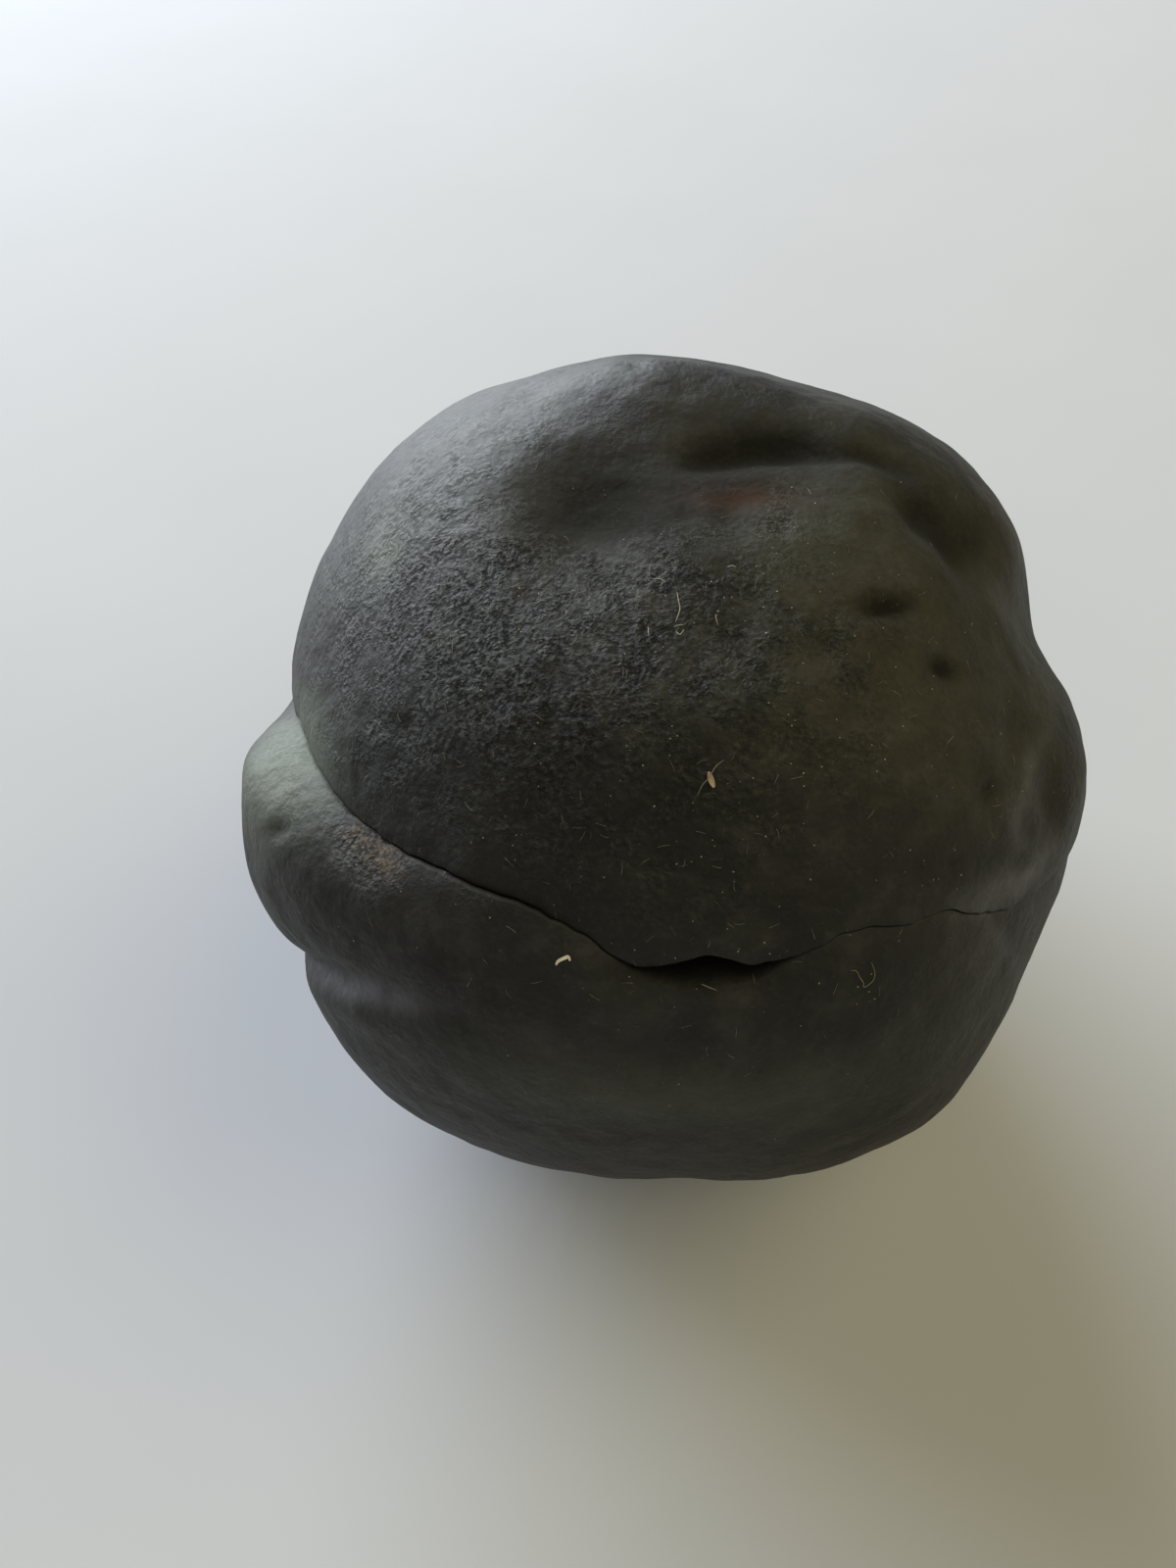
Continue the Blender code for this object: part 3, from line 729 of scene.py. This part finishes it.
def scatter_tree(name, shapes_of, values):
    """A tree that scatters small shapes over a skin, by its lint attribute, and lays each one flat on it."""
    tree = bpy.data.node_groups.new(name, "GeometryNodeTree")
    kinds = {float: "NodeSocketFloat", int: "NodeSocketInt"}
    tree.interface.new_socket("Skin", in_out="INPUT", socket_type="NodeSocketGeometry")
    for label, value in values.items():
        tree.interface.new_socket(label, in_out="INPUT", socket_type=kinds[type(value)])
    tree.interface.new_socket("Material", in_out="INPUT", socket_type="NodeSocketMaterial")
    tree.interface.new_socket("Pieces", in_out="OUTPUT", socket_type="NodeSocketGeometry")
    source = tree.nodes.new("NodeGroupInput").outputs
    weight = add(tree, "GeometryNodeInputNamedAttribute", {"Name": "lint"}, data_type="FLOAT")
    density = add(tree, "ShaderNodeMath", {
        0: weight.outputs["Attribute"], 1: source["Per Square Metre"],
    }, operation="MULTIPLY")
    points = add(tree, "GeometryNodeDistributePointsOnFaces", {
        "Mesh": source["Skin"], "Density": density.outputs[0], "Seed": source["Seed"],
    }, distribute_method="RANDOM")
    shapes = shapes_of(tree, source)
    size = add(tree, "FunctionNodeRandomValue", {
        2: source["Smallest"], 3: source["Largest"], "Seed": source["Seed"],
    }, data_type="FLOAT")
    placed = add(tree, "GeometryNodeInstanceOnPoints", {
        "Points": points.outputs["Points"], "Instance": shapes, "Pick Instance": True,
        "Rotation": points.outputs["Rotation"], "Scale": size.outputs[1],
    })
    next_seed = add(tree, "ShaderNodeMath", {0: source["Seed"], 1: 1.0})
    spin = add(tree, "FunctionNodeRandomValue", {
        2: 0.0, 3: 2 * math.pi, "Seed": next_seed.outputs[0],
    }, data_type="FLOAT")
    about = add(tree, "ShaderNodeCombineXYZ", {"Z": spin.outputs[1]})
    turned = add(tree, "GeometryNodeRotateInstances", {
        "Instances": placed.outputs["Instances"], "Rotation": about.outputs["Vector"], "Local Space": True,
    })
    real = add(tree, "GeometryNodeRealizeInstances", {"Geometry": turned.outputs["Instances"]})
    finished = add(tree, "GeometryNodeSetMaterial", {
        "Geometry": real.outputs["Geometry"], "Material": source["Material"],
    })
    result = add(tree, "NodeGroupOutput")
    tree.links.new(finished.outputs["Geometry"], result.inputs["Pieces"])
    return tree


def fibre_shapes(tree, source):
    """Several bent fibres of unit length, as instances to pick from."""
    random = np.random.default_rng(LINT_SHAPE_SEED)
    joined = add(tree, "GeometryNodeGeometryToInstance")
    for _ in range(LINT_SHAPES):
        bend = random.uniform(-LINT_BEND, LINT_BEND)
        lean = random.uniform(-LINT_LEAN, LINT_LEAN)
        rise = random.uniform(*LINT_RISE)
        line = add(tree, "GeometryNodeCurveQuadraticBezier", {
            "Resolution": 7, "Start": (-0.5, 0, 0.01), "Middle": (lean, bend, 2 * rise),
            "End": (0.5, 0, 0.02),
        })
        section = add(tree, "GeometryNodeCurvePrimitiveCircle", {
            "Resolution": 3, "Radius": source["Thickness"],
        })
        tube = add(tree, "GeometryNodeCurveToMesh", {
            "Curve": line.outputs["Curve"], "Profile Curve": section.outputs["Curve"], "Fill Caps": True,
        })
        tree.links.new(tube.outputs["Mesh"], joined.inputs["Geometry"])
    return joined.outputs["Instances"]


def speck_shapes(tree, source):
    """A speck of dust, as a small faceted grain."""
    grain = add(tree, "GeometryNodeMeshIcoSphere", {"Radius": 1.0, "Subdivisions": 1})
    flat = add(tree, "GeometryNodeTransform", {"Geometry": grain.outputs["Mesh"], "Scale": (1.0, 0.7, 0.5)})
    joined = add(tree, "GeometryNodeGeometryToInstance", {"Geometry": flat.outputs["Geometry"]})
    return joined.outputs["Instances"]


def scattered(skin, name, shapes_of, material, values):
    """Lint or dust scattered over the skin, as one plain mesh that rides with the stone."""
    tree = scatter_tree(name + "_tree", shapes_of, values)
    carrier = link(bpy.data.objects.new(name + "_carrier", skin.data))
    modifier = carrier.modifiers.new("scatter", "NODES")
    modifier.node_group = tree
    for label, value in values.items():
        set_input(modifier, tree, label, value)
    set_input(modifier, tree, "Material", material)
    evaluated = carrier.evaluated_get(bpy.context.evaluated_depsgraph_get())
    mesh = bpy.data.meshes.new_from_object(evaluated)
    carrier.modifiers.remove(modifier)
    bpy.data.objects.remove(carrier)
    mesh.name = name
    piece = link(bpy.data.objects.new(name, mesh))
    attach(piece, "root")


def on_skin(azimuth, elevation, height):
    """A place at some height over the skin."""
    azimuth = np.array([azimuth])
    elevation = np.array([elevation])
    lip = lip_height(azimuth)
    on_cap = cap_radius(azimuth, elevation, lip)
    on_body = body_radius(azimuth, elevation, lip)
    skin = np.where(elevation > lip, on_cap, on_body)
    return np.array(HEART) + unit(azimuth, elevation)[0] * (skin[0] + height)


def laid(path, half_width, depth, taper, hollow):
    """A thin closed strand or shell along a path over the skin. It narrows to its ends by a power of taper,
    and a hollow above 0 sinks its upper side, so that it looks like a husk."""
    knots = np.array([on_skin(*place) for place in path])
    line = np.vstack([smooth_line(knots, STRAND_STEPS), knots[-1]])
    ahead = np.gradient(line, axis=0)
    out = line - HEART
    side = np.cross(ahead, out)
    side /= np.linalg.norm(side, axis=1)[:, None]
    out = np.cross(side, ahead)
    out /= np.linalg.norm(out, axis=1)[:, None]
    share = np.sin(math.pi * np.linspace(STRAND_END, 1 - STRAND_END, len(line))) ** taper
    angle = np.arange(STRAND_SIDES) * 2 * math.pi / STRAND_SIDES
    rise = np.where(np.sin(angle) > 0, -hollow * np.sin(angle), np.sin(angle))
    rings = line[:, None] + share[:, None, None] * (
        half_width * np.cos(angle)[:, None] * side[:, None] + depth * rise[:, None] * out[:, None]
    )
    vertices = rings.reshape(-1, 3) * MM
    faces = []
    for ring in range(0, len(vertices) - STRAND_SIDES, STRAND_SIDES):
        for j in range(STRAND_SIDES):
            k = (j + 1) % STRAND_SIDES
            faces.append((ring + j, ring + STRAND_SIDES + j, ring + STRAND_SIDES + k, ring + k))
    faces.append(tuple(range(STRAND_SIDES)))
    faces.append(tuple(reversed(range(len(vertices) - STRAND_SIDES, len(vertices)))))
    return vertices, faces


def laid_pieces(name, strands, material):
    """Strands or shells of one kind joined into one object that rides with the stone."""
    vertices = []
    faces = []
    for places, corners in strands:
        faces += [tuple(len(vertices) + corner for corner in face) for face in corners]
        vertices += places.tolist()
    mesh = bpy.data.meshes.new(name)
    mesh.from_pydata(vertices, [], faces)
    mesh.shade_smooth()
    mesh.materials.append(material)
    piece = link(bpy.data.objects.new(name, mesh))
    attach(piece, "root")


def make_floor():
    """A plain pale board under the stone, matt and almost even in tone."""
    mesh = bpy.data.meshes.new("floor")
    low = -FLOOR_DROP * MM
    corners = [(-1, -1), (1, -1), (1, 1), (-1, 1)]
    mesh.from_pydata([(x * FLOOR_HALF, y * FLOOR_HALF, low) for x, y in corners], [], [(0, 1, 2, 3)])
    mesh.materials.append(plain_matt("pale_matt_board", "#a8a9b0", 0.9, 0.02, 40.0))
    floor = link(bpy.data.objects.new("floor", mesh))


def make_camera():
    """The camera looks from the front and above, turned so that the heart falls on its own pixel."""
    heart = Vector(HEART) * MM
    lean = math.radians(VIEW_ELEVATION)
    back = Vector((0, -math.cos(lean), math.sin(lean)))
    right = Vector((1, 0, 0))
    up = Vector((0, math.sin(lean), math.cos(lean)))
    aside = HEART_PIXEL[0] - FRAME_WIDTH / 2
    above = FRAME_HEIGHT / 2 - HEART_PIXEL[1]
    aim = Vector((aside / FOCAL_PIXELS, above / FOCAL_PIXELS, 1)).normalized()
    yaw = math.atan2(aim.x, aim.z)
    pitch = math.asin(aim.y)
    ahead = -back * math.cos(yaw) - right * math.sin(yaw)
    right = right * math.cos(yaw) - back * math.sin(yaw)
    up, ahead = up * math.cos(pitch) + ahead * math.sin(pitch), ahead * math.cos(pitch) - up * math.sin(pitch)
    data = bpy.data.cameras.new("camera")
    data.sensor_width = SENSOR_MM
    data.sensor_fit = "AUTO"
    data.lens = SENSOR_MM * FOCAL_PIXELS / FRAME_HEIGHT
    data.clip_start = 0.005
    camera = link(bpy.data.objects.new("camera", data))
    turn = Matrix((right, up, -ahead)).transposed().to_4x4()
    camera.matrix_world = Matrix.Translation(heart + back * VIEW_DISTANCE * MM) @ turn
    bpy.context.scene.camera = camera


def area_light(name, azimuth, elevation, distance, size, power, code):
    """A soft square light that faces the stone."""
    data = bpy.data.lights.new(name, "AREA")
    data.size = size
    data.energy = power
    data.color = linear(code)[:3]
    light = link(bpy.data.objects.new(name, data))
    place = Vector(unit(azimuth, elevation)) * distance
    light.location = place
    light.rotation_euler = place.to_track_quat("Z", "Y").to_euler()


def make_light():
    """A window behind the stone on the left, a warm lamp at the right, and the room's own light in front."""
    world = bpy.data.worlds.new("studio")
    world.use_nodes = True
    air = world.node_tree.nodes["Background"].inputs
    air["Color"].default_value = linear(AIR_COLOUR)
    air["Strength"].default_value = AIR_STRENGTH
    bpy.context.scene.world = world
    bpy.context.scene.view_settings.view_transform = "Standard"
    for light in LIGHTS:
        area_light(*light)


make_camera()
make_light()
make_floor()
stone = make_stone(river_worn_shale())
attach(stone, "root")
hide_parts(NODE)

# Dull cotton, bleached in places: short pale threads that stand out against the black
lint_finish = plain_matt("cotton_lint", "#918b7c", roughness=0.9, variation=0.8, size=0.7)
scattered(stone, "loose_lint", fibre_shapes, lint_finish, {
    "Per Square Metre": LINT_PER_CM2 * 1e4, "Smallest": LINT_LENGTH[0] * MM, "Largest": LINT_LENGTH[1] * MM,
    "Thickness": LINT_THICKNESS, "Seed": LINT_SEED,
})
# House dust: grey-brown specks, all of them matt
dust_finish = plain_matt("house_dust", "#a39c8c", roughness=0.95, variation=0.7, size=0.8)
scattered(stone, "settled_dust", speck_shapes, dust_finish, {
    "Per Square Metre": DUST_PER_CM2 * 1e4, "Smallest": DUST_SIZE[0] * MM, "Largest": DUST_SIZE[1] * MM,
    "Seed": DUST_SEED,
})
# Grey-brown hair, faintly shiny, and clean cotton, the palest of the threads
hair_finish = plain_matt("dull_hair", "#77715f", roughness=0.7, variation=0.2, size=1.0)
cotton_finish = plain_matt("clean_cotton", "#9a9282", roughness=0.8, variation=0.3, size=0.5)
for name, paths, finish in (
    ("dark_hairs", DARK_HAIRS, hair_finish),
    ("pale_fibres", PALE_FIBRES, cotton_finish),
):
    laid_pieces(name, [laid(path, HAIR_RADIUS, HAIR_RADIUS, HAIR_TAPER, hollow=-1) for path in paths], finish)
# Dry seed husk and chaff: straw-coloured, with the soft shine of dry grass
husk_finish = plain_matt("dry_seed_husk", "#a8957b", roughness=0.6, variation=0.25, size=0.4)
laid_pieces("husk", [laid(HUSK, half_width=0.19, depth=0.12, taper=0.6, hollow=0.35)], husk_finish)
chaff_finish = plain_matt("dry_chaff", "#e9dfcb", roughness=0.6, variation=0.15, size=0.5)
laid_pieces("flake", [laid(FLAKE, half_width=0.12, depth=0.08, taper=0.4, hollow=0.3)], chaff_finish)
